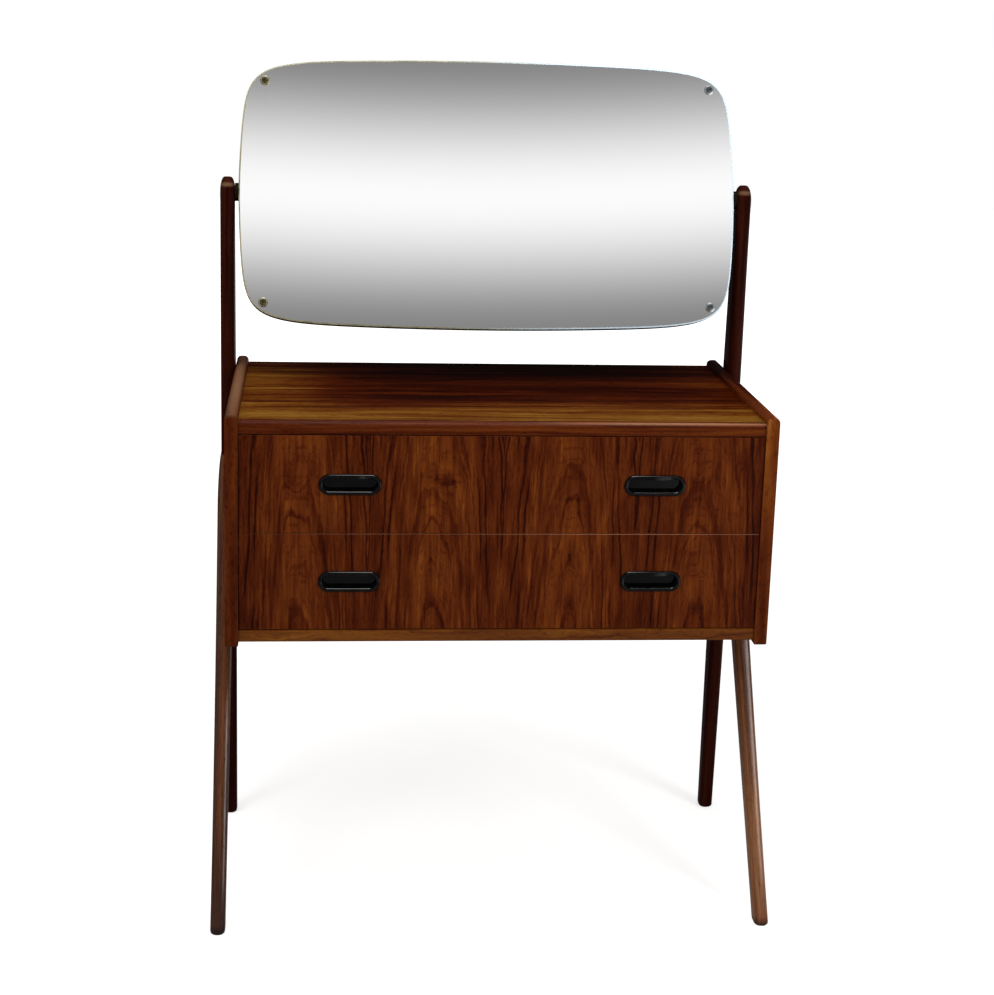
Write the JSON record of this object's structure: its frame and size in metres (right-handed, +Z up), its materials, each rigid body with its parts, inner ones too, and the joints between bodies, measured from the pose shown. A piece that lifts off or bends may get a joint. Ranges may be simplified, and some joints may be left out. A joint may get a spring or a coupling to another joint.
{
  "type": "dressing table",
  "caption": "Rosewood dressing table with full-width drawers, recessed black pulls, splayed side frames and a tilting barrel-shaped mirror.",
  "frame": {"origin": "on the floor, in the middle of the bounding box's footprint", "axes": "+Z up, +X towards the right as seen from the front, the drawers open towards -Y"},
  "size_m": [0.811, 0.4482, 1.205],
  "materials": {
    "front_rosewood": "satin lacquer",
    "top_rosewood": "satin lacquer",
    "panel_rosewood": "satin lacquer",
    "frame_rosewood": "satin lacquer",
    "inner_wood": "plain, smooth",
    "plywood": "plain, smooth",
    "beech": "plain, smooth",
    "black_pull": "gloss",
    "mirror": "silvered glass with a ground edge",
    "brass": "satin",
    "steel": "plain",
    "sleeve": "translucent",
    "spacer": "matt"
  },
  "bodies": {
    "carcass": {"side_panel_left": "panel_rosewood", "side_panel_right": "panel_rosewood", "top_board": "top_rosewood", "top_lipping": "top_rosewood", "bottom_board": "inner_wood", "bottom_rail": "panel_rosewood", "back_panel": "plywood", "back_panel_screws": "steel", "carcass_dowels": "beech", "runner_upper_left": "beech", "runner_upper_right": "beech", "runner_lower_left": "beech", "runner_lower_right": "beech", "runner_screws": "steel", "drawer_stops": "beech", "rear_post_left": "frame_rosewood", "rear_post_right": "frame_rosewood", "front_leg_left": "frame_rosewood", "front_leg_right": "frame_rosewood", "leg_dowels": "beech", "frame_screws_left": "steel", "frame_screws_right": "steel", "pivot_washers": "brass"},
    "upper_drawer": {"upper_drawer_front": "front_rosewood", "upper_drawer_side_left": "inner_wood", "upper_drawer_side_right": "inner_wood", "upper_drawer_back": "inner_wood", "upper_drawer_bottom": "plywood", "upper_pull_left": "black_pull", "upper_pull_right": "black_pull"},
    "lower_drawer": {"lower_drawer_front": "front_rosewood", "lower_drawer_side_left": "inner_wood", "lower_drawer_side_right": "inner_wood", "lower_drawer_back": "inner_wood", "lower_drawer_bottom": "plywood", "lower_pull_left": "black_pull", "lower_pull_right": "black_pull"},
    "mirror": {"mirror_glass": "mirror", "mirror_backing": "frame_rosewood", "mirror_screws": "brass", "mirror_cup_washers": "brass", "mirror_sleeves": "sleeve", "pivot_bolt_left": "steel", "pivot_bolt_right": "steel", "pivot_insert_left": "brass", "pivot_insert_right": "brass", "pivot_spacer_left": "spacer", "pivot_spacer_right": "spacer"}
  },
  "joints": [
    {"name": "upper_drawer_slide", "type": "slide", "parent": "carcass", "child": "upper_drawer", "axis": [0, -1, 0], "range_m": [0, 0.3]},
    {"name": "lower_drawer_slide", "type": "slide", "parent": "carcass", "child": "lower_drawer", "axis": [0, -1, 0], "range_m": [0, 0.3]},
    {"name": "mirror_tilt", "type": "hinge", "parent": "carcass", "child": "mirror", "pos_m": [0, 0.16031, 1.0065], "axis": [1, 0, 0], "range_deg": [-74, 106]}
  ]
}
